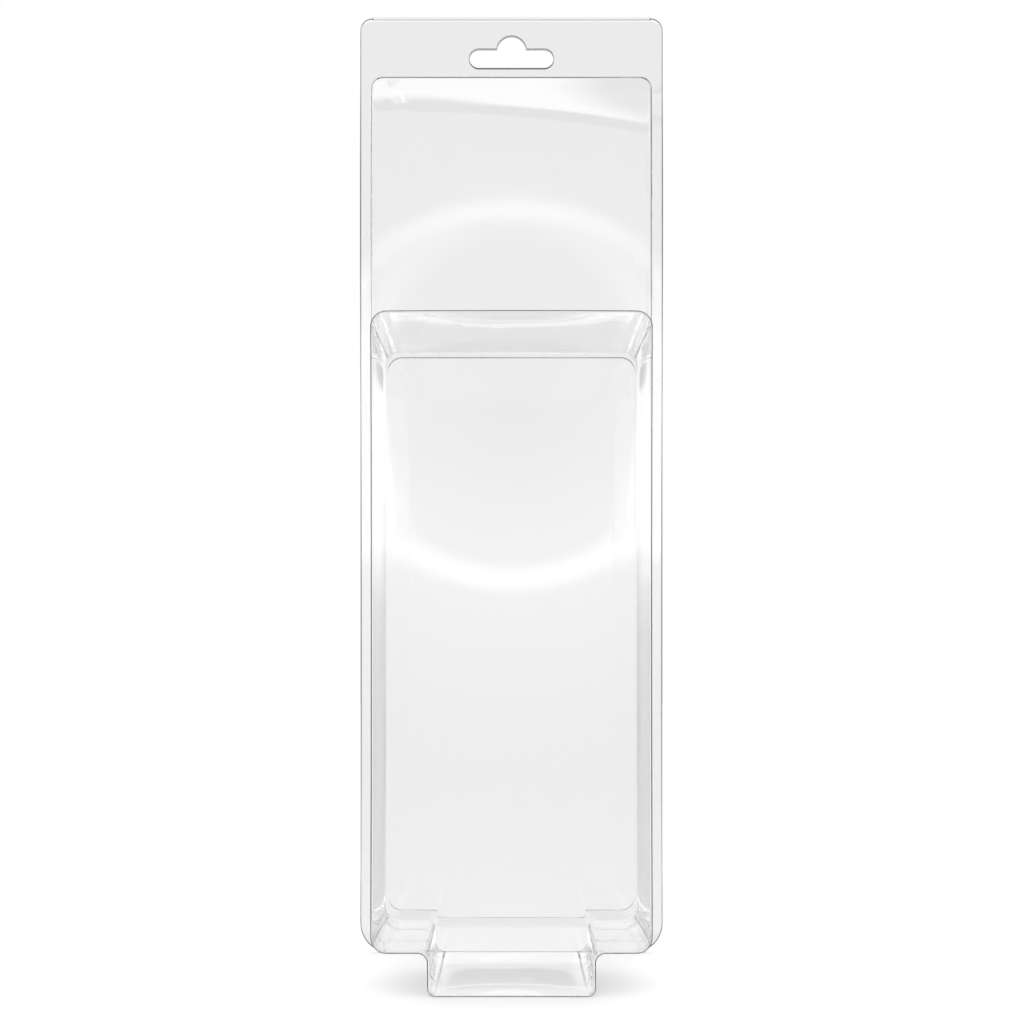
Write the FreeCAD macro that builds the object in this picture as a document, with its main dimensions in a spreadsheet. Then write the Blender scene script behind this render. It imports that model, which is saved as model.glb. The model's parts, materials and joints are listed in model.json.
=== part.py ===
"""Clear blister protector case: a formed front shell with its standing foot, and the back shell
that closes it, joined by a fold along the top edge.

Millimetres. +Z is up, the bubble faces -Y, and X runs across the case. The origin is the middle of
the closed case, at the level it stands on. Both shells are drawn about their own parting plane,
where the two lips meet, and each shell's Placement carries that plane to its place behind the
origin.
"""
import FreeCAD, Part
import math
import os

import Sketcher

# Driving dimensions: alias, value, what it is. Angles are in degrees, the rest in millimetres.
SIZES = (
    ("case_width", 115.0, "across the lips"),
    ("case_height", 356.0, "standing edge to the top of the fold"),
    ("case_depth", 60.0, "parting plane to the front of the bubble"),
    ("wall", 0.5, "thickness of the formed sheet"),
    ("lip_width", 4.0, "flat lip beside and below the rim"),
    ("hanger_band", 22.6, "flat band above the rim"),
    ("lip_low_corner", 11.2, "cut corners at the standing edge"),
    ("lip_high_corner", 4.6, "cut corners beside the fold"),
    ("rim_depth", 5.0, "parting plane to the front of the shallow section"),
    ("rim_inset", 0.8, "how far its sides lean in"),
    ("rim_top_inset", 2.5, "how far its top side leans in, for an easier release"),
    ("rim_low_corner", 5.5, "corners of the shallow section, bottom"),
    ("rim_high_corner", 5.0, "corners of the shallow section, top"),
    ("ledge_width", 5.6, "flat ledge between the rim and the bubble"),
    ("bubble_low", 12.6, "height of the bubble's floor above the standing edge"),
    ("bubble_height", 214.1, "the bubble at its mouth"),
    ("bubble_corner", 6.8, "bubble's corners at its mouth"),
    ("draft", 1.5, "lean of the bubble's walls"),
    ("foot_width", 58.6, "the foot at its mouth"),
    ("foot_corner", 4.4, "rounding along the foot's lower edges, at its mouth"),
    ("neck_radius", 1.7, "hollow corner between bubble and foot, at the mouth"),
    ("front_edge", 1.0, "rounding round the front of bubble and foot"),
    ("rim_edge", 0.8, "rounding round the shallow section's face"),
    ("base_edge", 1.0, "hollow rounding where bubble and foot leave the ledge"),
    ("card_space", 1.0, "room for a header card between plug and ledge"),
    ("plug_overlap", 3.3, "plug's reach past the bubble's mouth, sides and top"),
    ("plug_drop", 0.2, "plug's reach below the bubble's floor"),
    ("plug_inset", 4.4, "how far the plug's sides lean in"),
    ("plug_corner", 10.0, "corners of the plug at the lip"),
    ("tongue_drop", 2.8, "how far the plug dips into the foot"),
    ("tongue_gap", 0.5, "clearance between the tongue's face and the foot's sides"),
    ("tongue_corner", 6.0, "corners of the tongue at the lip"),
    ("tongue_reach", 30.0, "how far the tongue runs up into the plug"),
    ("plug_edge", 1.6, "rounding round the plug's face"),
    ("slot_width", 32.0, "hang hole, end to end"),
    ("slot_height", 7.2, "hang hole, its straight slot"),
    ("slot_drop", 15.7, "top of the case to the slot's centre line"),
    ("hump_radius", 5.6, "hang hole, its round middle"),
    ("hump_rise", 3.0, "slot's centre line to the centre of the round middle"),
    ("fold_gap", 0.15, "clearance of the back shell's top edge under the fold"),
)

# Sizes that follow from the driving ones, as spreadsheet formulas under names of their own.
DERIVED = (
    ("lip_half", "=case_width / 2"),
    ("fold_height", "=case_height - wall"),
    ("rim_half", "=lip_half - lip_width"),
    ("rim_high", "=case_height - hanger_band"),
    ("rim_rise", "=rim_depth - wall"),
    ("bubble_half", "=rim_half - ledge_width"),
    ("bubble_high", "=bubble_low + bubble_height"),
    ("bubble_inset", "=case_depth * tan(draft * 1 deg)"),
    ("foot_half", "=foot_width / 2"),
    ("plug_rise", "=rim_depth - wall - card_space"),
    ("plug_half", "=bubble_half + plug_overlap"),
    ("plug_low", "=bubble_low - plug_drop"),
    ("plug_high", "=bubble_high + plug_overlap"),
    ("tongue_half", "=foot_half - wall - tongue_gap + plug_inset"),
    ("tongue_low", "=plug_low - tongue_drop"),
    ("tongue_high", "=plug_low + tongue_reach"),
    ("back_height", "=case_height - 2 * wall - fold_gap"),
    ("slot_level", "=case_height - slot_drop"),
    ("slot_radius", "=slot_height / 2"),
    ("slot_reach", "=slot_width / 2 - slot_radius"),
    ("parting", "=(case_depth - wall) / 2"),
)

TOLERANCE = 1e-4
LEVEL = ("low", "high", "floor")

doc = FreeCAD.newDocument("blister_case")
sheet = doc.addObject("Spreadsheet::Sheet", "Sizes")


def fill_sheet():
    """Writes the driving and derived sizes into the spreadsheet, each under its alias."""
    rows = [(name, str(number), note) for name, number, note in SIZES]
    rows += [(name, formula, "derived") for name, formula in DERIVED]
    for row, (name, content, note) in enumerate(rows, start=1):
        sheet.set(f"A{row}", note)
        sheet.set(f"B{row}", content)
        sheet.setAlias(f"B{row}", name)
    doc.recompute()


def size(name):
    """A size read from the sheet, in millimetres."""
    return float(getattr(sheet, name))


def value(expression):
    """The number that an expression over the sheet gives."""
    return float(sheet.evalExpression(expression))


def new_body(name):
    """A body whose own origin lies on the parting plane."""
    body = doc.addObject("PartDesign::Body", name)
    body.Label = name
    body.setExpression("Placement.Base.y", "Sizes.parting")
    return body


def new_sketch(body, name, role="XZ_Plane", offset="0"):
    """A sketch on one of the body's planes. On XZ_Plane its normal is -Y, towards the front."""
    sketch = body.newObject("Sketcher::SketchObject", name)
    plane = next(item for item in body.Origin.OriginFeatures if item.Role == role)
    sketch.AttachmentSupport = [(plane, "")]
    sketch.MapMode = "FlatFace"
    sketch.setExpression("AttachmentOffset.Base.z", f"({offset}) * 1 mm")
    return sketch


def bind(sketch, name, expression, *constraint):
    """Adds a dimension to a sketch and ties it to an expression over the sheet."""
    index = sketch.addConstraint(Sketcher.Constraint(*constraint, value(expression)))
    sketch.renameConstraint(index, name)
    sketch.setExpression(f"Constraints.{name}", f"({expression}) * 1 mm")


def walk(sides, corners):
    """Corner points, unit steps and radii along an outline, in the order of its sides."""
    spots = [-value(where) if kind == "left" else value(where) for kind, where in sides]
    points = []
    for i, (kind, _) in enumerate(sides):
        ahead = spots[(i + 1) % len(sides)]
        points.append((ahead, spots[i]) if kind in LEVEL else (spots[i], ahead))
    steps = []
    for i, point in enumerate(points):
        run = (point[0] - points[i - 1][0], point[1] - points[i - 1][1])
        length = math.hypot(*run)
        steps.append((run[0] / length, run[1] / length))
    return points, steps, [value(corner) for corner in corners]


def corner_arc(point, step, ahead, radius):
    """The arc that rounds a corner, always anticlockwise, and whether the outline turns left."""
    centre = [point[k] + (ahead[k] - step[k]) * radius for k in (0, 1)]
    turns_left = step[0] * ahead[1] - step[1] * ahead[0] > 0
    towards = [-step[k] if turns_left else ahead[k] for k in (0, 1)]
    begin = [point[k] + towards[k] * radius - centre[k] for k in (0, 1)]
    angle = math.atan2(begin[1], begin[0])
    circle = Part.Circle(FreeCAD.Vector(*centre, 0), FreeCAD.Vector(0, 0, 1), radius)
    return Part.ArcOfCircle(circle, angle, angle + math.pi / 2), turns_left


def draw_outline(sketch, sides, corners):
    """Draws a closed outline of level and upright sides, anticlockwise, with round corners.

    sides holds (kind, expression) pairs that alternate between level sides (low, high, floor)
    and upright ones (left, right). corners[i] is the radius between side i and side i + 1.
    """
    points, steps, radii = walk(sides, corners)
    count = len(sides)
    for i in range(count):
        start = [points[i - 1][k] + steps[i][k] * radii[i - 1] for k in (0, 1)]
        end = [points[i][k] - steps[i][k] * radii[i] for k in (0, 1)]
        sketch.addGeometry(Part.LineSegment(FreeCAD.Vector(*start, 0), FreeCAD.Vector(*end, 0)))
    for i in range(count):
        following = (i + 1) % count
        arc, turns_left = corner_arc(points[i], steps[i], steps[following], radii[i])
        index = sketch.addGeometry(arc)
        near, far = (1, 2) if turns_left else (2, 1)
        sketch.addConstraint(Sketcher.Constraint("Tangent", i, 2, index, near))
        sketch.addConstraint(Sketcher.Constraint("Tangent", index, far, following, 1))
        bind(sketch, f"corner_{i}", corners[i], "Radius", index)
    for i, (kind, where) in enumerate(sides):
        flat = "Horizontal" if kind in LEVEL else "Vertical"
        sketch.addConstraint(Sketcher.Constraint(flat, i))
        if where == "0":
            sketch.addConstraint(Sketcher.Constraint("PointOnObject", i, 1, -1))
        elif kind in LEVEL:
            bind(sketch, f"{kind}_{i}", where, "DistanceY", -1, 1, i, 1)
        elif kind == "right":
            bind(sketch, f"{kind}_{i}", where, "DistanceX", -1, 1, i, 1)
        else:
            bind(sketch, f"{kind}_{i}", where, "DistanceX", i, 1, -1, 1)


def shrunk(sides, corners, amount, from_top, floor):
    """An outline drawn in by an amount, or from its top by another, with its floor at a level.

    An outer corner tightens by the first amount, and a hollow one, marked "+", opens by it.
    """
    moved = []
    for kind, where in sides:
        inward = f"({from_top})" if kind == "high" else f"({amount})"
        sign = "+" if kind == "low" else "-"
        moved.append((kind, floor if kind == "floor" else f"{where} {sign} {inward}"))
    return moved, [f"{corner} {sign} ({amount})" for corner, sign in corners]


def drawn_in(form, inset, end, hollow):
    """How far a form's side lies in from its outline at the mouth: its lean, and its wall."""
    lean = f"({inset}) / ({form['rise']})"
    wall = f"Sizes.wall * (sqrt(1 + ({lean}) ^ 2) - {lean})" if hollow else "0"
    return f"{wall} + {inset}" if end == "Face" else wall


def add_loft(body, form, hollow):
    """One end-to-end loft of a pressed form: its outside, or the hollow one wall inside it."""
    top_inset = form.get("top_inset", form["inset"])
    back = "Sizes.wall" if hollow else "0"
    floor = "Sizes.wall" if hollow else "0"
    part = "Hollow" if hollow else "Form"
    sketches = []
    for end, forward in (("Mouth", "0"), ("Face", form["rise"])):
        place = f"{form['start']} + {forward} - {back}"
        sketch = new_sketch(body, f"{form['name']}{part}{end}", offset=place)
        from_side = drawn_in(form, form["inset"], end, hollow)
        from_top = drawn_in(form, top_inset, end, hollow)
        draw_outline(sketch, *shrunk(form["sides"], form["corners"], from_side, from_top, floor))
        sketches.append(sketch)
    kind = "PartDesign::SubtractiveLoft" if hollow else "PartDesign::AdditiveLoft"
    loft = body.newObject(kind, f"{form['name']}{part}")
    loft.Profile = sketches[0]
    loft.Sections = [sketches[1]]
    loft.Ruled = True
    doc.recompute()


def press(body, forms):
    """Presses forms forward out of a lip, then hollows them all to one wall.

    Each form has its outline at the mouth, where its sides start in front of the parting plane,
    how far it rises towards the front and how far its sides lean in on the way. Its top side
    may lean by an amount of its own.
    """
    for form in forms:
        add_loft(body, form, hollow=False)
    for form in forms:
        add_loft(body, form, hollow=True)


def make_lip(body, high, behind):
    """The flat lip of one shell, one wall thick, in front of the parting plane or behind it."""
    sketch = new_sketch(body, "LipOutline", offset="-Sizes.wall" if behind else "0")
    low, top = "Sizes.lip_low_corner", "Sizes.lip_high_corner"
    half = "Sizes.lip_half"
    sides = [("floor", "0"), ("right", half), ("high", high), ("left", half)]
    draw_outline(sketch, sides, [low, top, top, low])
    pad = body.newObject("PartDesign::Pad", "Lip")
    pad.Profile = sketch
    pad.setExpression("Length", "Sizes.wall * 1 mm")
    doc.recompute()


def draw_hang_hole(sketch):
    """The delta hang hole: a straight slot with round ends and a round middle standing over it."""
    reach, level, radius = size("slot_reach"), size("slot_level"), size("slot_radius")
    hump, centre = size("hump_radius"), size("slot_level") + size("hump_rise")
    side = math.sqrt(hump ** 2 - (size("hump_rise") - radius) ** 2)
    start = math.atan2(radius - size("hump_rise"), side)
    up = FreeCAD.Vector(0, 0, 1)

    def line(x1, z1, x2, z2):
        sketch.addGeometry(Part.LineSegment(FreeCAD.Vector(x1, z1, 0), FreeCAD.Vector(x2, z2, 0)))

    def arc(x, z, r, first, last):
        sketch.addGeometry(Part.ArcOfCircle(Part.Circle(FreeCAD.Vector(x, z, 0), up, r), first, last))

    line(-reach, level - radius, reach, level - radius)
    arc(reach, level, radius, -math.pi / 2, math.pi / 2)
    line(reach, level + radius, side, level + radius)
    arc(0, centre, hump, start, math.pi - start)
    line(-side, level + radius, -reach, level + radius)
    arc(-reach, level, radius, math.pi / 2, 3 * math.pi / 2)
    for first, second in ((0, 1), (1, 2), (4, 5), (5, 0)):
        sketch.addConstraint(Sketcher.Constraint("Tangent", first, 2, second, 1))
    for first, second in ((2, 3), (3, 4)):
        sketch.addConstraint(Sketcher.Constraint("Coincident", first, 2, second, 1))
    for straight in (0, 2, 4):
        sketch.addConstraint(Sketcher.Constraint("Horizontal", straight))
    sketch.addConstraint(Sketcher.Constraint("PointOnObject", 3, 3, -2))
    sketch.addConstraint(Sketcher.Constraint("Symmetric", 1, 3, 5, 3, -2))
    bind(sketch, "slot_radius", "Sizes.slot_radius", "Radius", 1)
    bind(sketch, "hump_radius", "Sizes.hump_radius", "Radius", 3)
    bind(sketch, "slot_reach", "Sizes.slot_reach", "DistanceX", -1, 1, 1, 3)
    bind(sketch, "slot_level", "Sizes.slot_level", "DistanceY", -1, 1, 1, 3)
    bind(sketch, "hump_level", "Sizes.slot_level + Sizes.hump_rise", "DistanceY", -1, 1, 3, 3)


def cut_hang_hole(body, behind):
    """Punches the hang hole through the lip's band."""
    sketch = new_sketch(body, "HangHoleOutline", offset="-Sizes.wall" if behind else "0")
    draw_hang_hole(sketch)
    pocket = body.newObject("PartDesign::Pocket", "HangHole")
    pocket.Profile = sketch
    pocket.Reversed = True
    pocket.setExpression("Length", "Sizes.wall * 1 mm")
    before = body.Shape.Volume
    doc.recompute()
    if body.Shape.Volume > before - 1:
        raise RuntimeError("the hang hole has cut nothing")


def add_fold(body):
    """The living hinge: the sheet folded flat on itself, round over the top of the case."""
    sketch = new_sketch(body, "FoldSection", role="YZ_Plane")
    middle = FreeCAD.Vector(0, size("fold_height"), 0)
    sketch.addGeometry(Part.Circle(middle, FreeCAD.Vector(0, 0, 1), size("wall")))
    sketch.addConstraint(Sketcher.Constraint("PointOnObject", 0, 3, -2))
    bind(sketch, "fold_height", "Sizes.fold_height", "DistanceY", -1, 1, 0, 3)
    bind(sketch, "wall", "Sizes.wall", "Radius", 0)
    pad = body.newObject("PartDesign::Pad", "Fold")
    pad.Profile = sketch
    pad.Midplane = True
    pad.setExpression("Length", "2 * (Sizes.lip_half - Sizes.lip_high_corner) * 1 mm")
    doc.recompute()


def edges_at(body, forward, keep=lambda box: True):
    """The names of a body's edges in the plane this far in front of the parting plane."""
    plane = size("parting") - forward
    names = []
    for number, edge in enumerate(body.Shape.Edges, start=1):
        box = edge.BoundBox
        flat = abs(box.YMin - plane) < TOLERANCE and abs(box.YMax - plane) < TOLERANCE
        if flat and keep(box):
            names.append(f"Edge{number}")
    return names


def of_bubble(box):
    """True for an edge of the bubble or foot, false for one of the rim that stands round them."""
    reach = max(abs(box.XMin), abs(box.XMax))
    return reach < size("bubble_half") + TOLERANCE and box.ZMax < size("bubble_high") + TOLERANCE


def of_rim(box):
    """True for an edge of the rim."""
    return not of_bubble(box)


def round_edges(body, name, edges, radius):
    """Rounds edges of a body's present shape."""
    base = body.Tip
    fillet = body.newObject("PartDesign::Fillet", name)
    fillet.Base = (base, edges)
    fillet.setExpression("Radius", f"({radius}) * 1 mm")
    doc.recompute()


def rectangle(low, half, high):
    """The sides of a plain outline about the case's centre line."""
    return [("low", low), ("right", half), ("high", high), ("left", half)]


def stepped(foot, foot_half, low, half, high):
    """The sides of an outline with a narrower part hanging from its lower side."""
    lower = [foot, ("right", foot_half), ("low", low)]
    return lower + [("right", half), ("high", high), ("left", half), ("low", low), ("left", foot_half)]


def make_front_shell():
    """The front shell: lip, shallow section, drawn bubble and foot, hang hole and fold.

    The sheet thins where it is drawn over the bubble's front edges, so those are rounded on
    their outside alone. Round the rim and the bubble's base it keeps its wall.
    """
    body = new_body("front_shell")
    make_lip(body, "Sizes.fold_height", behind=False)
    low, top = ("Sizes.rim_low_corner", "-"), ("Sizes.rim_high_corner", "-")
    rim = {
        "name": "Rim",
        "sides": rectangle("Sizes.lip_width", "Sizes.rim_half", "Sizes.rim_high"),
        "corners": [low, top, top, low],
        "start": "Sizes.wall",
        "rise": "Sizes.rim_rise",
        "inset": "Sizes.rim_inset",
        "top_inset": "Sizes.rim_top_inset",
    }
    foot, neck = ("Sizes.foot_corner", "-"), ("Sizes.neck_radius", "+")
    corner = ("Sizes.bubble_corner", "-")
    bubble = {
        "name": "Bubble",
        "sides": stepped(
            ("floor", "0"), "Sizes.foot_half", "Sizes.bubble_low", "Sizes.bubble_half",
            "Sizes.bubble_high",
        ),
        "corners": [foot, neck, corner, corner, corner, corner, neck, foot],
        "start": "0",
        "rise": "Sizes.case_depth",
        "inset": "Sizes.bubble_inset",
    }
    press(body, [rim, bubble])
    cut_hang_hole(body, behind=False)
    add_fold(body)
    front, ledge, under = size("case_depth"), size("rim_depth"), size("rim_rise")
    round_edges(body, "FrontEdge", edges_at(body, front), "Sizes.front_edge")
    round_edges(body, "RimEdge", edges_at(body, ledge, of_rim), "Sizes.rim_edge")
    round_edges(body, "RimInside", edges_at(body, under, of_rim), "Sizes.rim_edge - Sizes.wall")
    round_edges(body, "BaseEdge", edges_at(body, ledge, of_bubble), "Sizes.base_edge")
    round_edges(body, "BaseInside", edges_at(body, under, of_bubble), "Sizes.base_edge + Sizes.wall")
    return body


def make_back_shell():
    """The back shell: lip, low plug panel with its tongue into the foot, and hang hole."""
    body = new_body("back_shell")
    make_lip(body, "Sizes.back_height", behind=True)
    corner = ("Sizes.plug_corner", "-")
    shared = {"start": "0", "rise": "Sizes.plug_rise", "inset": "Sizes.plug_inset"}
    plug = {
        "name": "Plug",
        "sides": rectangle("Sizes.plug_low", "Sizes.plug_half", "Sizes.plug_high"),
        "corners": [corner] * 4,
    }
    tongue = {
        "name": "Tongue",
        "sides": rectangle("Sizes.tongue_low", "Sizes.tongue_half", "Sizes.tongue_high"),
        "corners": [("Sizes.tongue_corner", "-")] * 4,
    }
    press(body, [plug | shared, tongue | shared])
    cut_hang_hole(body, behind=True)
    round_edges(body, "PlugEdge", edges_at(body, size("plug_rise")), "Sizes.plug_edge")
    return body


def check_document(bodies):
    """Stops the script if a feature has failed or a shell is not one whole solid."""
    for item in doc.Objects:
        if "Invalid" in item.State or "Error" in item.State:
            raise RuntimeError(f"{item.Label} has failed: {item.State}")
    for body in bodies:
        shape = body.Shape
        if shape.isNull() or not shape.isValid() or len(shape.Solids) != 1:
            raise RuntimeError(f"{body.Label} is not one whole solid")


def main():
    """Builds both shells, checks them and writes one STEP file each."""
    fill_sheet()
    bodies = [make_front_shell(), make_back_shell()]
    doc.recompute()
    check_document(bodies)
    os.makedirs("parts", exist_ok=True)
    for body in bodies:
        body.Shape.exportStep(f"parts/{body.Label}.step")
        box = body.Shape.BoundBox
        print(f"{body.Label}: {body.Shape.Volume:.1f} mm3, {len(body.Shape.Faces)} faces, {box}")


main()
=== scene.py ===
"""Finish of the clear blister protector case: both formed shells in clear PET, and the studio."""

import collections
import json
import math

import bmesh
import bpy
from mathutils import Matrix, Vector


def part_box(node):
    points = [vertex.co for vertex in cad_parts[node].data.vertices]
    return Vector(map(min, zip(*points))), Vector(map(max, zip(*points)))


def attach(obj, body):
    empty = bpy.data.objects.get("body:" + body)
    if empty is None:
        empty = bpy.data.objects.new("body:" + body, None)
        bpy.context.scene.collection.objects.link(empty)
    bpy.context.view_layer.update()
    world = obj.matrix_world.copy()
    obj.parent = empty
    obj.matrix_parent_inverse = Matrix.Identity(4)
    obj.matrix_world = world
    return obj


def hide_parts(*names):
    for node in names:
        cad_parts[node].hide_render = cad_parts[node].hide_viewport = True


bl_info = {
    "name": "Blister protector case",
    "version": (1, 0, 0),
    "blender": (4, 5, 0),
    "location": "3D View > Sidebar > Blister case",
    "description": "Formed clear shells of a standing blister case, with a plain studio",
    "category": "Object",
}

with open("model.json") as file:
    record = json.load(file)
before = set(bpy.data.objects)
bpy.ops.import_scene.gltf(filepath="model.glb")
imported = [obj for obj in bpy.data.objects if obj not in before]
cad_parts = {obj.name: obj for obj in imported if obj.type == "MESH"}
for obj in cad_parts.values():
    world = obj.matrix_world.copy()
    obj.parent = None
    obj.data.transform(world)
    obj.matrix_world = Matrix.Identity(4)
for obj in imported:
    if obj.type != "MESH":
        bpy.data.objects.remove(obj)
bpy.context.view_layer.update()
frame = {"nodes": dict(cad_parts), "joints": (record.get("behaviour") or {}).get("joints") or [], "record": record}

MM = 0.001
LOW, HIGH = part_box("front_shell")
PLUG_LOW, PLUG_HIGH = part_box("back_shell")
PARTING = frame["joints"][0]["pos_m"][1]
WALL = PLUG_HIGH.y - PARTING
ROOMS = {room["name"]: room["box_m"] for room in frame["record"]["physics"]["openings"]}
BUBBLE, FOOT, HEADER = ROOMS["bubble_cavity"], ROOMS["foot_cavity"], ROOMS["header_pocket"]

PET_IOR = 1.57
# height of the slow waves that forming leaves in the sheet
WAVE_HEIGHT = 0.014 * MM
# vertices closer than this are one, and bends sharper than the crease stay sharp
WELD = 0.001 * MM
CREASE = math.radians(28)
TOLERANCE = 0.02 * MM
# a sheet's two finishes, by their place in its list of materials
CLEAR, CUT = 0, 1


class SheetSettings(bpy.types.PropertyGroup):
    """How far the formed sheets depart from flat, and how finely they are meshed."""

    cell: bpy.props.FloatProperty(
        name="Cell", description="Spacing of the mesh's rows and columns",
        default=6 * MM, min=1 * MM, unit="LENGTH",
    )
    bubble_crown: bpy.props.FloatProperty(
        name="Bubble crown", description="Outward swell at the middle of the bubble's face",
        default=0.3 * MM, unit="LENGTH",
    )
    header_crown: bpy.props.FloatProperty(
        name="Header crown", description="Outward swell at the middle of the header panel",
        default=1.7 * MM, unit="LENGTH",
    )
    plug_crown: bpy.props.FloatProperty(
        name="Plug crown", description="Outward swell at the middle of the plug's panel",
        default=0.6 * MM, unit="LENGTH",
    )
    side_bow: bpy.props.FloatProperty(
        name="Side bow", description="Inward bow of the bubble's long walls and the rim beside them",
        default=0.7 * MM, unit="LENGTH",
    )
    roof_crown: bpy.props.FloatProperty(
        name="Roof crown", description="Outward swell at the middle of the bubble's top wall",
        default=0.8 * MM, unit="LENGTH",
    )
    foot_lift: bpy.props.FloatProperty(
        name="Foot lift", description="Rise of the foot's base at its middle, so it stands on its rim",
        default=0.4 * MM, unit="LENGTH",
    )
    shear: bpy.props.FloatProperty(
        name="Shear", description="Width of the dulled strip along the die-cut outline",
        default=0.22 * MM, unit="LENGTH",
    )
    air_gap: bpy.props.FloatProperty(
        name="Air gap", description="Film of air between the two lips",
        default=0.1 * MM, unit="LENGTH",
    )


class FinishSettings(bpy.types.PropertyGroup):
    """The clear sheet and its cut edges."""

    tint: bpy.props.StringProperty(
        name="Tint", description="Colour of the clear sheet, as an sRGB hex value",
        default="F8F8F8",
    )
    edge: bpy.props.StringProperty(
        name="Cut edge", description="Colour of the die-cut edge, as an sRGB hex value",
        default="ADB0B2",
    )
    ripple: bpy.props.FloatProperty(
        name="Ripple", description="Width of the slow waves left in the sheet by forming",
        default=38 * MM, unit="LENGTH",
    )


class StageSettings(bpy.types.PropertyGroup):
    """The floor and the camera."""

    floor: bpy.props.StringProperty(
        name="Floor", description="Colour of the floor, as an sRGB hex value", default="FAFAFA",
    )
    camera_height: bpy.props.FloatProperty(
        name="Camera height", description="Height of the camera over the floor",
        default=0.105, unit="LENGTH",
    )
    camera_distance: bpy.props.FloatProperty(
        name="Camera distance", description="From the camera to the plane where the shells meet",
        default=0.4258, unit="LENGTH",
    )


def linear(code):
    """A linear colour from an sRGB hex value."""
    channels = [int(code[k:k + 2], 16) / 255 for k in (0, 2, 4)]
    bent = [c / 12.92 if c <= 0.04045 else ((c + 0.055) / 1.055) ** 2.4 for c in channels]
    return (*bent, 1.0)


def add_node(tree, kind, inputs=None, **settings):
    """Adds a node to a tree.

    inputs maps a socket's name or number to a value, to another node's socket, or to a node,
    which stands for its first enabled output.
    """
    node = tree.nodes.new(kind)
    for name, setting in settings.items():
        setattr(node, name, setting)
    for key, given in (inputs or {}).items():
        if isinstance(key, str):
            socket = next(one for one in node.inputs if one.name == key and one.enabled)
        else:
            socket = node.inputs[key]
        if isinstance(given, bpy.types.Node):
            given = next(one for one in given.outputs if one.enabled)
        if isinstance(given, bpy.types.NodeSocket):
            tree.links.new(given, socket)
        else:
            socket.default_value = given
    return node


def ramp(tree, value, span, levels=(0.0, 1.0), smooth=False):
    """Carries a value from one span of levels to another, and holds it beyond both ends."""
    return add_node(
        tree, "ShaderNodeMapRange",
        {
            "Value": value, "From Min": span[0], "From Max": span[1],
            "To Min": levels[0], "To Max": levels[1],
        },
        interpolation_type="SMOOTHSTEP" if smooth else "LINEAR",
    )


def blend(tree, share, first, second, kind="FLOAT"):
    """The first value where the share is 0, the second where it is 1, and between them between."""
    return add_node(
        tree, "ShaderNodeMix", {"Factor": share, "A": first, "B": second}, data_type=kind
    )


def reckon(tree, operation, *inputs, clamp=False):
    """A Math node on numbers, or on the results of other nodes."""
    return add_node(
        tree, "ShaderNodeMath", dict(enumerate(inputs)), operation=operation, use_clamp=clamp
    )


def reckon_vector(tree, operation, *inputs):
    """A Vector Math node's result, which is a number for a length or a dot product."""
    node = add_node(tree, "ShaderNodeVectorMath", dict(enumerate(inputs)), operation=operation)
    return node.outputs["Value" if operation in ("LENGTH", "DOT_PRODUCT") else "Vector"]


def new_material(name):
    """A material with an empty node tree, and its output node."""
    material = bpy.data.materials.new(name)
    material.use_nodes = True
    material.node_tree.nodes.clear()
    return material, material.node_tree, add_node(material.node_tree, "ShaderNodeOutputMaterial")


def clear_pet_sheet(finish):
    """Clear PET, vacuum formed.

    The sheet comes off its rolls glass smooth, so it mirrors sharply, and forming leaves slow
    waves a few centimetres wide that bend those reflections.
    """
    material, tree, output = new_material("clear_pet_sheet")
    place = add_node(tree, "ShaderNodeTexCoord").outputs["Object"]
    waves = add_node(
        tree, "ShaderNodeTexNoise",
        {"Vector": place, "Scale": 1 / finish.ripple, "Detail": 0.0},
    )
    relief = add_node(
        tree, "ShaderNodeBump",
        {"Height": waves.outputs["Fac"], "Strength": 1.0, "Distance": WAVE_HEIGHT},
    )
    sheet = add_node(
        tree, "ShaderNodeBsdfPrincipled",
        {
            "Base Color": linear(finish.tint), "Roughness": 0.02, "IOR": PET_IOR,
            "Transmission Weight": 1.0, "Normal": relief.outputs["Normal"],
        },
    )
    # painted shadow: for rays from lamps the sheet lets nearly all light by, as the tall walls turn light rather
    # than stop it, but inside an ellipsoid round the foot it holds back more, which places a soft shadow on the
    # floor round the foot
    foot_middle, foot_half = (0, PARTING - 45 * MM, 0), (62 * MM, 27 * MM, 40 * MM)
    off_foot = reckon_vector(tree, "SUBTRACT", place, foot_middle)
    share = reckon_vector(tree, "DIVIDE", off_foot, foot_half)
    reach = reckon_vector(tree, "LENGTH", share)
    foot_shadow_pass = ramp(tree, reach, (0.7, 1.1), (0.805, 0.99))
    passing = add_node(tree, "ShaderNodeBsdfTransparent", {"Color": foot_shadow_pass})
    path = add_node(tree, "ShaderNodeLightPath").outputs
    mix = add_node(tree, "ShaderNodeMixShader", {0: path["Is Shadow Ray"], 1: sheet, 2: passing})
    tree.links.new(mix.outputs[0], output.inputs["Surface"])
    return material


def die_cut_edge(finish):
    """The sheet's cut edge: sheared by a steel rule, so it is dull and greyer than the faces."""
    material, tree, output = new_material("die_cut_edge")
    tear = 0.6 * MM
    place = add_node(tree, "ShaderNodeTexCoord").outputs["Object"]
    tears = add_node(
        tree, "ShaderNodeTexNoise", {"Vector": place, "Scale": 1 / tear, "Detail": 2.0}
    )
    roughness = ramp(tree, tears.outputs["Fac"], (0.0, 1.0), (0.35, 0.6))
    edge = add_node(
        tree, "ShaderNodeBsdfPrincipled",
        {"Base Color": linear(finish.edge), "Roughness": roughness, "IOR": PET_IOR},
    )
    tree.links.new(edge.outputs[0], output.inputs["Surface"])
    return material


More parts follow.
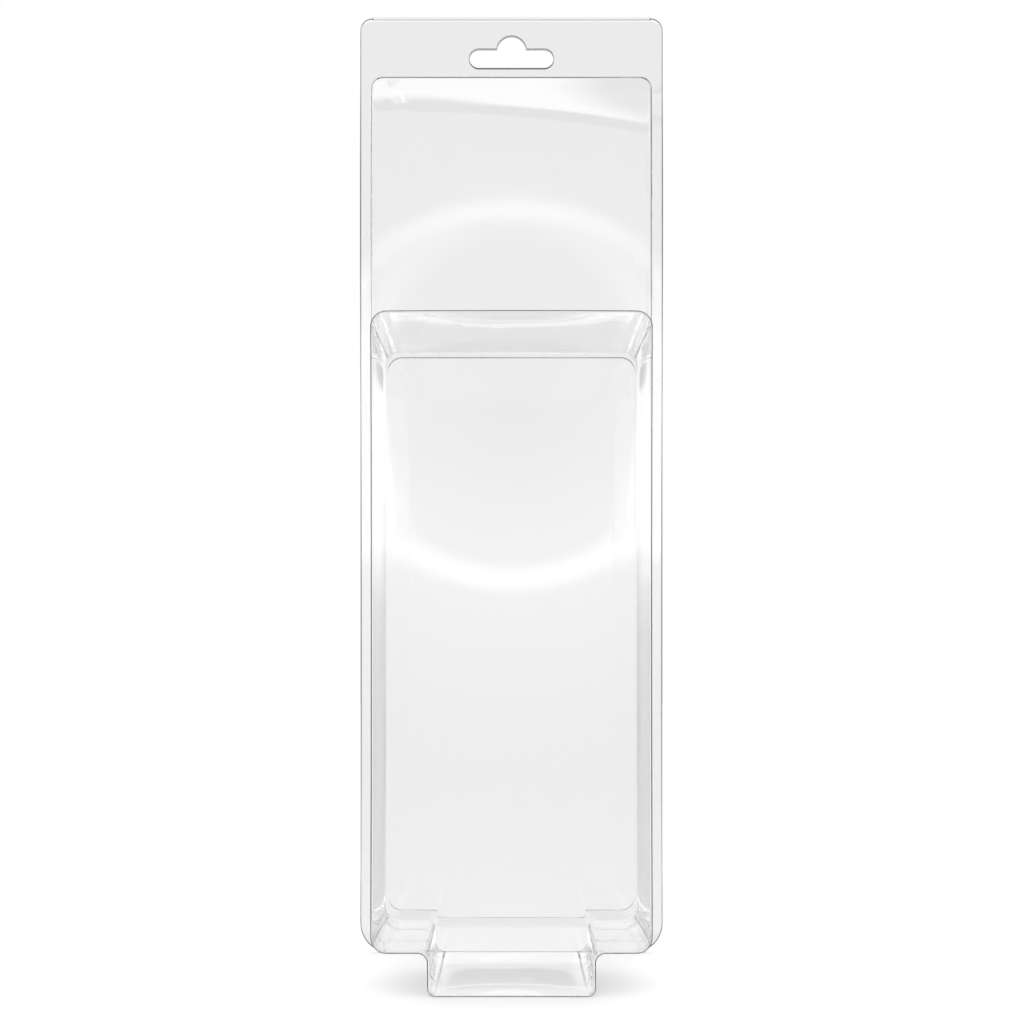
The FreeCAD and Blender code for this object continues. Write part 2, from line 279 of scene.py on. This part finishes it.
def swell_tree():
    """Geometry nodes that push a patch of sheet: fully at its centre, fading to its reach."""
    tree = bpy.data.node_groups.new("sheet_swell", "GeometryNodeTree")
    sockets = tree.interface
    sockets.new_socket("Geometry", in_out="OUTPUT", socket_type="NodeSocketGeometry")
    sockets.new_socket("Geometry", in_out="INPUT", socket_type="NodeSocketGeometry")
    for name in ("Centre", "Reach", "Push"):
        sockets.new_socket(name, in_out="INPUT", socket_type="NodeSocketVector")
    sockets.new_socket("Material", in_out="INPUT", socket_type="NodeSocketMaterial")
    given = add_node(tree, "NodeGroupInput").outputs
    place = add_node(tree, "GeometryNodeInputPosition").outputs[0]
    offset = reckon_vector(tree, "SUBTRACT", place, given["Centre"])
    share = reckon_vector(tree, "DIVIDE", offset, given["Reach"])
    weight = 1.0
    for part in add_node(tree, "ShaderNodeSeparateXYZ", {0: share}).outputs:
        square = reckon(tree, "MULTIPLY", part, part)
        fade = reckon(tree, "SUBTRACT", 1.0, square, clamp=True)
        weight = reckon(tree, "MULTIPLY", weight, fade)
    push = add_node(
        tree, "ShaderNodeVectorMath", {0: given["Push"], "Scale": weight}, operation="SCALE"
    )
    moved = add_node(
        tree, "GeometryNodeSetPosition",
        {"Geometry": given["Geometry"], "Offset": push.outputs[0]},
    )
    real = add_node(tree, "GeometryNodeRealizeInstances", {0: moved})
    cut = add_node(tree, "GeometryNodeInputMaterialIndex")
    clear = reckon(tree, "SUBTRACT", 1.0, cut, clamp=True)
    finished = add_node(
        tree, "GeometryNodeSetMaterial",
        {"Geometry": real, "Selection": clear, "Material": given["Material"]},
    )
    add_node(tree, "NodeGroupOutput", {0: finished})
    return tree


def swell(piece, name, centre, reach, push):
    """Adds one swell to a piece, as a modifier."""
    tree = bpy.data.node_groups.get("sheet_swell") or swell_tree()
    modifier = piece.modifiers.new(name, "NODES")
    modifier.node_group = tree
    sockets = {item.name: item.identifier for item in tree.interface.items_tree
               if item.in_out == "INPUT"}
    given = {
        "Centre": centre, "Reach": reach, "Push": push, "Material": piece.data.materials[0],
    }
    for key, setting in given.items():
        modifier[sockets[key]] = setting


def cut_into_cells(mesh, cell):
    """Cuts every face along planes square to the three axes, so that flat panels can be crowned."""
    for axis in (0, 1, 2):
        low = min(vertex.co[axis] for vertex in mesh.verts)
        high = max(vertex.co[axis] for vertex in mesh.verts)
        count = math.ceil((high - low) / cell)
        for step in range(1, count):
            point, normal = Vector((0, 0, 0)), Vector((0, 0, 0))
            point[axis] = low + (high - low) * step / count
            normal[axis] = 1
            everything = mesh.verts[:] + mesh.edges[:] + mesh.faces[:]
            bmesh.ops.bisect_plane(
                mesh, geom=everything, dist=TOLERANCE, plane_co=point, plane_no=normal
            )


def outline_faces(mesh):
    """Faces one sheet deep and square to the lip: the whole outline, and the hang hole's."""
    reach, slant = WALL + TOLERANCE, 0.02
    return {
        face for face in mesh.faces
        if abs(face.normal.y) < slant and all(abs(v.co.y - PARTING) < reach for v in face.verts)
    }


def shear_outline(mesh, width, in_fold):
    """Marks what the cutting rule leaves with the second finish, with a narrow strip beside it.

    The rule pinches the sheet as it shears it, so the strip dulls along with the cut itself. What
    lies in the fold isn't cut: in_fold tells those faces.
    """
    outline = outline_faces(mesh)
    sheet = [face for face in mesh.faces if face not in outline]
    strips = bmesh.ops.inset_region(
        mesh, faces=sheet, thickness=width, use_boundary=True, use_even_offset=True
    )["faces"]
    cut = {face for face in outline if not in_fold(face)}
    for face in cut:
        face.material_index = CUT
    for face in strips:
        beside = {other for edge in face.edges for other in edge.link_faces}
        face.material_index = CUT if beside & cut else CLEAR
        face.smooth = True


def material_once(name, make, finish):
    """A material by name, made the first time it is asked for."""
    return bpy.data.materials.get(name) or make(finish)


def sheet_copy(node, name, scene, air, in_fold):
    """A merged copy of a CAD shell's mesh, cut into cells, with its finishes and sharp creases."""
    sheet, finish = scene.blister_sheet, scene.blister_finish
    mesh = bmesh.new()
    mesh.from_mesh(frame["nodes"][node].data)
    bmesh.ops.remove_doubles(mesh, verts=mesh.verts, dist=WELD)
    for face in mesh.faces:
        face.smooth = True
        face.material_index = CLEAR
    shear_outline(mesh, sheet.shear, in_fold)
    cut_into_cells(mesh, sheet.cell)
    bmesh.ops.translate(mesh, verts=mesh.verts, vec=(0, air, 0))
    for edge in mesh.edges:
        edge.smooth = edge.calc_face_angle(0) < CREASE
    data = bpy.data.meshes.new(name)
    mesh.to_mesh(data)
    mesh.free()
    data.materials.append(material_once("clear_pet_sheet", clear_pet_sheet, finish))
    data.materials.append(material_once("die_cut_edge", die_cut_edge, finish))
    piece = bpy.data.objects.new(name, data)
    scene.collection.objects.link(piece)
    return piece


def bake(piece):
    """Turns a piece's modifiers into its own plain mesh."""
    graph = bpy.context.evaluated_depsgraph_get()
    data = bpy.data.meshes.new_from_object(
        piece.evaluated_get(graph), preserve_all_data_layers=True, depsgraph=graph
    )
    piece.modifiers.clear()
    piece.data = data


def dress(piece, node, body):
    """Weights a shell's normals to its large faces, bakes it and ties it to its body."""
    weighted = piece.modifiers.new("face_weighted_normals", "WEIGHTED_NORMAL")
    weighted.keep_sharp = True
    weighted.weight = 100
    bake(piece)
    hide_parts(node)
    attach(piece, body)


class BLISTER_OT_front_shell(bpy.types.Operator):
    """Makes the front shell: lip, header, bubble and foot, each panel a little crowned"""

    bl_idname = "blister.front_shell"
    bl_label = "Front shell"

    def execute(self, context):
        sheet = context.scene.blister_sheet
        piece = sheet_copy("front_shell", "front_sheet", context.scene, 0, lambda face: False)
        (_, front, floor), (right, back, roof) = BUBBLE
        (_, header_front, header_low), (header_right, _, header_high) = HEADER
        foot_right = FOOT[1][0]
        mid_depth, half_depth = (front + back) / 2, (back - front) / 2
        mid_height, half_height = (floor + roof) / 2, (roof - floor) / 2
        # a reach is half the panel's size, and through the panel enough to take its bends along
        swell(
            piece, "bubble_face", centre=(0, LOW.y, mid_height),
            reach=(right, 20 * MM, half_height), push=(0, -sheet.bubble_crown, 0),
        )
        # the header bows over its height alone: its reach across is far past its sides
        swell(
            piece, "header_face", centre=(0, header_front, (header_low + header_high) / 2),
            reach=(8 * header_right, 8 * MM, (header_high - header_low) / 2),
            push=(0, -sheet.header_crown, 0),
        )
        swell(
            piece, "bubble_roof", centre=(0, mid_depth, roof),
            reach=(right, half_depth + 4 * MM, 6 * MM), push=(0, 0, sheet.roof_crown),
        )
        swell(
            piece, "foot_base", centre=(0, mid_depth, 0),
            reach=(foot_right, half_depth, 4 * MM), push=(0, 0, sheet.foot_lift),
        )
        for side in (-1, 1):
            swell(
                piece, "side_wall", centre=(side * HIGH.x, mid_depth, mid_height),
                reach=(16 * MM, half_depth + 12 * MM, half_height),
                push=(-side * sheet.side_bow, 0, 0),
            )
        dress(piece, "front_shell", "front")
        return {"FINISHED"}


class BLISTER_OT_back_shell(bpy.types.Operator):
    """Makes the back shell: lip and plug panel, a little crowned"""

    bl_idname = "blister.back_shell"
    bl_label = "Back shell"

    def execute(self, context):
        sheet = context.scene.blister_sheet
        under_fold, upward = PLUG_HIGH.z - 6 * MM, 0.1
        piece = sheet_copy(
            "back_shell", "back_sheet", context.scene, sheet.air_gap,
            lambda face: face.normal.z > upward and face.calc_center_median().z > under_fold,
        )
        (_, _, floor), (right, _, roof) = BUBBLE
        swell(
            piece, "plug_face", centre=(0, PLUG_LOW.y, (floor + roof) / 2),
            reach=(right, 3 * MM, (roof - floor) / 2), push=(0, -sheet.plug_crown, 0),
        )
        dress(piece, "back_shell", "back")
        return {"FINISHED"}


# A direction in the studio, as a unit vector and its parts: along is away from the camera, and
# sideways is how far across, to either side. The levels below are measured in these parts.
Way = collections.namedtuple("Way", "whole across along up sideways")


def paper_behind(tree, way):
    """The paper sweep: a grey patch above the horizon, and below it a pale one in bright paper."""
    upper_middle, lower_middle = (0, 0, 0.2755), (0, 0, -0.285)
    upper_size, lower_size = (0.067, 1, 0.0325), (0.1, 1, 0.055)
    upper_tone, lower_tone = 0.66, 1.3
    upper_around, lower_around = 1.15, 2.2
    sweep = ramp(tree, way.up, (0.03, 0.16), (0.77, 1.12), smooth=True)
    below = ramp(tree, way.up, (-0.205, -0.22))
    middle = blend(tree, below, upper_middle, lower_middle, kind="VECTOR")
    size = blend(tree, below, upper_size, lower_size, kind="VECTOR")
    flat_way = add_node(tree, "ShaderNodeCombineXYZ", {"X": way.across, "Y": 0.0, "Z": way.up})
    off_middle = reckon_vector(tree, "SUBTRACT", flat_way, middle)
    scaled = reckon_vector(tree, "DIVIDE", off_middle, size)
    squared = reckon_vector(tree, "MULTIPLY", scaled, scaled)
    off_patch = reckon_vector(tree, "LENGTH", squared)
    tone = ramp(tree, below, (0.0, 1.0), (upper_tone, lower_tone))
    around = ramp(tree, below, (0.0, 1.0), (upper_around, lower_around))
    patch = ramp(tree, off_patch, (0.85, 1.1), (tone, around), smooth=True)
    return reckon(tree, "MULTIPLY", sweep, patch)


def dim_front(tree, way):
    """The front: dim, lighter towards a pale table with a strip of dark cloth lying across it."""
    cloth_middle, cloth_edge = -0.2585, (0.0095, 0.011)
    cloth_tone, table_tone, floor_tone = 0.05, 1.3, 0.5
    dim = ramp(tree, way.up, (-0.24, 0.02), (0.95, 0.62))
    off_cloth = reckon(tree, "ABSOLUTE", reckon(tree, "SUBTRACT", way.up, cloth_middle))
    cloth = ramp(tree, off_cloth, cloth_edge, (cloth_tone, table_tone), smooth=True)
    table = ramp(tree, way.up, (-0.218, -0.226))
    past_sides = ramp(tree, way.sideways, (0.068, 0.073))
    past_front = ramp(tree, way.up, (-0.4, -0.5))
    off_table = reckon(tree, "MAXIMUM", past_sides, past_front)
    ground = blend(tree, off_table, cloth, floor_tone)
    return blend(tree, table, dim, ground)


def side_lamps(tree, way, front):
    """Adds a broad lamp at each side of the front."""
    lamp_tone = 1.4
    beside = ramp(tree, way.sideways, (0.1195, 0.1215))
    over_foot = ramp(tree, way.up, (0.08, 0.17), smooth=True)
    under_top = ramp(tree, way.up, (0.33, 0.25), smooth=True)
    height = reckon(tree, "MULTIPLY", over_foot, under_top)
    lamp = reckon(tree, "MULTIPLY", beside, height)
    return blend(tree, lamp, front, lamp_tone)


def shade_room(tree, way, front, behind):
    """Joins front and back, with a dark spot straight below and dark flags high at the sides."""
    spot_tone = 0.1
    heading = ramp(tree, way.along, (-0.3, 0.6), smooth=True)
    room = blend(tree, heading, front, behind)
    under = ramp(tree, way.up, (-0.93, -0.98))
    spotted = blend(tree, under, room, spot_tone)
    flag_tone = ramp(tree, way.up, (0.22, 0.32), (1.0, 0.35))
    flags = ramp(tree, way.sideways, (0.7, 0.9), (1.0, flag_tone), smooth=True)
    return reckon(tree, "MULTIPLY", spotted, flags)


def ring_lamp(tree, way):
    """The ring lamp, a tube with a soft halo, round a point in front and a little above.

    It is egg shaped: narrower across above its middle than below.
    """
    middle = Vector((0, -1.0, 0.2475)).normalized()
    radius, halo_reach = math.radians(8.7), math.radians(12)
    squeeze = ramp(tree, way.up, (0.2, 0.3), (0.7, 1.2), smooth=True)
    egg = add_node(tree, "ShaderNodeCombineXYZ", {"X": squeeze, "Y": 1.0, "Z": 1.0})
    squeezed = reckon_vector(tree, "MULTIPLY", way.whole, egg)
    ring_way = reckon_vector(tree, "NORMALIZE", squeezed)
    angle = reckon(tree, "ARCCOSINE", reckon_vector(tree, "DOT_PRODUCT", ring_way, middle))
    off_tube = reckon(tree, "ABSOLUTE", reckon(tree, "SUBTRACT", angle, radius))
    width = ramp(tree, way.up, (0.1, 0.37), (math.radians(1.1), math.radians(1.7)))
    tube = ramp(tree, off_tube, (0.0, width), (1.0, 0.0), smooth=True)
    tube_power = ramp(tree, way.up, (0.15, 0.35), (0.8, 0.72))
    halo_power = ramp(tree, way.up, (0.15, 0.3), (0.45, 0.1))
    halo = ramp(tree, off_tube, (0.0, halo_reach), (halo_power, 0.0), smooth=True)
    return reckon(tree, "MULTIPLY_ADD", tube, tube_power, halo)


def softbox(tree, way, room):
    """Adds the overhead softbox: a dark frame along its sagging lower edge, then its lit cloth."""
    lower_edge = Vector((0.225, 0.66, 1.0)).normalized()
    upper_edge = Vector((0.86, 0.73, 1.0)).normalized()
    sag, frame_tone, cloth_tone, ceiling_tone = 1.05, 0.0, 2.2, 0.35
    over_edge = reckon_vector(tree, "DOT_PRODUCT", way.whole, lower_edge)
    across_squared = reckon(tree, "MULTIPLY", way.across, way.across)
    above = reckon(tree, "MULTIPLY_ADD", across_squared, sag, over_edge)
    bar = ramp(tree, above, (-0.019, -0.016))
    framed = blend(tree, bar, room, frame_tone)
    cloth = ramp(tree, above, (-0.002, 0.002))
    lit = blend(tree, cloth, framed, cloth_tone)
    beyond = reckon_vector(tree, "DOT_PRODUCT", way.whole, upper_edge)
    past = ramp(tree, beyond, (-0.015, 0.02), smooth=True)
    shaped = blend(tree, past, lit, ceiling_tone)
    # it hangs over the front alone
    elsewhere = ramp(tree, way.along, (-0.5, -0.4))
    return blend(tree, elsewhere, shaped, room)


def studio_world():
    """A white studio.

    Looked at straight, or through the sheet, it is white ahead and grey far to the sides. What
    the sheet mirrors is a room: a dim front with a table, lamps and an overhead softbox, and a
    bright paper sweep behind. What the paper floor gathers from it is one even, dim light.
    """
    even_light = 0.3
    world = bpy.data.worlds.new("studio")
    bpy.context.scene.world = world
    world.use_nodes = True
    tree = world.node_tree
    tree.nodes.clear()
    output = add_node(tree, "ShaderNodeOutputWorld")
    whole = add_node(tree, "ShaderNodeTexCoord").outputs["Generated"]
    across, along, up = add_node(tree, "ShaderNodeSeparateXYZ", {0: whole}).outputs
    way = Way(whole, across, along, up, reckon(tree, "ABSOLUTE", across))
    front = side_lamps(tree, way, dim_front(tree, way))
    room = shade_room(tree, way, front, paper_behind(tree, way))
    with_ring = reckon(tree, "ADD", room, ring_lamp(tree, way))
    mirrored = softbox(tree, way, with_ring)
    # what a ray meets that was never mirrored: white ahead, grey where an edge has bent it away
    path = add_node(tree, "ShaderNodeLightPath").outputs
    open_view = ramp(tree, along, (0.5, 0.76), (0.45, 1.0), smooth=True)
    straight = reckon(tree, "SUBTRACT", 1.0, path["Glossy Depth"], clamp=True)
    seen = blend(tree, straight, mirrored, open_view)
    scattered = reckon(tree, "MINIMUM", path["Diffuse Depth"], 1.0)
    strength = blend(tree, scattered, seen, even_light)
    sky = add_node(tree, "ShaderNodeBackground", {"Color": (1, 1, 1, 1), "Strength": strength})
    tree.links.new(sky.outputs[0], output.inputs["Surface"])


def paper_floor(stage):
    """White seamless paper, matt, which stays white to the eye and takes a soft shadow.

    The sheet doesn't mirror it: the surrounding light has a table of its own for that.
    """
    lift = 0.12
    material, tree, output = new_material("seamless_paper")
    matt = add_node(
        tree, "ShaderNodeBsdfPrincipled", {"Base Color": linear(stage.floor), "Roughness": 0.9}
    )
    path = add_node(tree, "ShaderNodeLightPath").outputs
    seen = reckon(tree, "MAXIMUM", path["Is Camera Ray"], path["Is Transmission Ray"])
    share = reckon(tree, "MULTIPLY", seen, lift)
    glow = add_node(tree, "ShaderNodeEmission", {"Color": (1, 1, 1, 1), "Strength": share})
    lit = add_node(tree, "ShaderNodeAddShader", {0: matt, 1: glow})
    passing = add_node(tree, "ShaderNodeBsdfTransparent", {"Color": (1, 1, 1, 1)})
    mix = add_node(
        tree, "ShaderNodeMixShader", {0: path["Is Glossy Ray"], 1: lit, 2: passing}
    )
    tree.links.new(mix.outputs[0], output.inputs["Surface"])
    return material


def make_floor(scene, stage):
    """The square of paper that the case stands on."""
    half = 4.0
    data = bpy.data.meshes.new("floor")
    data.from_pydata(
        [(-half, -half, LOW.z), (half, -half, LOW.z), (half, half, LOW.z), (-half, half, LOW.z)],
        [], [(0, 1, 2, 3)],
    )
    data.materials.append(paper_floor(stage))
    floor = bpy.data.objects.new("floor", data)
    scene.collection.objects.link(floor)


def overhead_scrim(scene):
    """A very broad lamp above and a little behind the case, which doesn't show in the sheet."""
    scrim = bpy.data.lights.new("overhead_scrim", "SUN")
    scrim.energy = 2.5
    scrim.angle = math.radians(110)
    scrim.cycles.use_multiple_importance_sampling = False
    lamp = bpy.data.objects.new("overhead_scrim", scrim)
    lamp.rotation_euler = (math.radians(-6), 0, 0)
    lamp.visible_glossy = False
    lamp.visible_transmission = False
    scene.collection.objects.link(lamp)


def shift_camera(scene, stage):
    """A level camera low in front of the case, with its lens shifted up to keep uprights upright."""
    lens = bpy.data.cameras.new("camera")
    lens.lens = 39.3
    lens.sensor_width = 36.0
    lens.shift_x = 0.0005
    lens.shift_y = 0.161
    lens.clip_start = 0.01
    camera = bpy.data.objects.new("camera", lens)
    camera.location = (0, PARTING - stage.camera_distance, stage.camera_height)
    camera.rotation_euler = (math.radians(90), 0, 0)
    scene.collection.objects.link(camera)
    scene.camera = camera


class BLISTER_OT_stage(bpy.types.Operator):
    """Makes the surrounding light, the paper floor, the lamp over it and the camera"""

    bl_idname = "blister.stage"
    bl_label = "Stage"

    def execute(self, context):
        scene = context.scene
        stage = scene.blister_stage
        studio_world()
        make_floor(scene, stage)
        overhead_scrim(scene)
        shift_camera(scene, stage)
        scene.view_settings.view_transform = "Standard"
        return {"FINISHED"}


class BLISTER_PT_case(bpy.types.Panel):
    """Sizes and finishes of the case, and a button for each piece"""

    bl_label = "Blister case"
    bl_idname = "BLISTER_PT_case"
    bl_space_type = "VIEW_3D"
    bl_region_type = "UI"
    bl_category = "Blister case"

    def draw(self, context):
        scene = context.scene
        for settings in (scene.blister_sheet, scene.blister_finish, scene.blister_stage):
            for name in settings.__annotations__:
                self.layout.prop(settings, name)
        for operator in OPERATORS:
            self.layout.operator(operator.bl_idname)


OPERATORS = (BLISTER_OT_front_shell, BLISTER_OT_back_shell, BLISTER_OT_stage)
SETTINGS = {
    "blister_sheet": SheetSettings, "blister_finish": FinishSettings, "blister_stage": StageSettings,
}


def register():
    """Registers the settings, the operators and the panel."""
    for kind in (*SETTINGS.values(), *OPERATORS, BLISTER_PT_case):
        bpy.utils.register_class(kind)
    for name, kind in SETTINGS.items():
        setattr(bpy.types.Scene, name, bpy.props.PointerProperty(type=kind))


def unregister():
    """Takes them away again."""
    for name in SETTINGS:
        delattr(bpy.types.Scene, name)
    for kind in (BLISTER_PT_case, *reversed(OPERATORS), *reversed(SETTINGS.values())):
        bpy.utils.unregister_class(kind)


def main():
    """Makes every piece in turn."""
    register()
    bpy.ops.blister.front_shell()
    bpy.ops.blister.back_shell()
    bpy.ops.blister.stage()


if __name__ == "__main__":
    main()
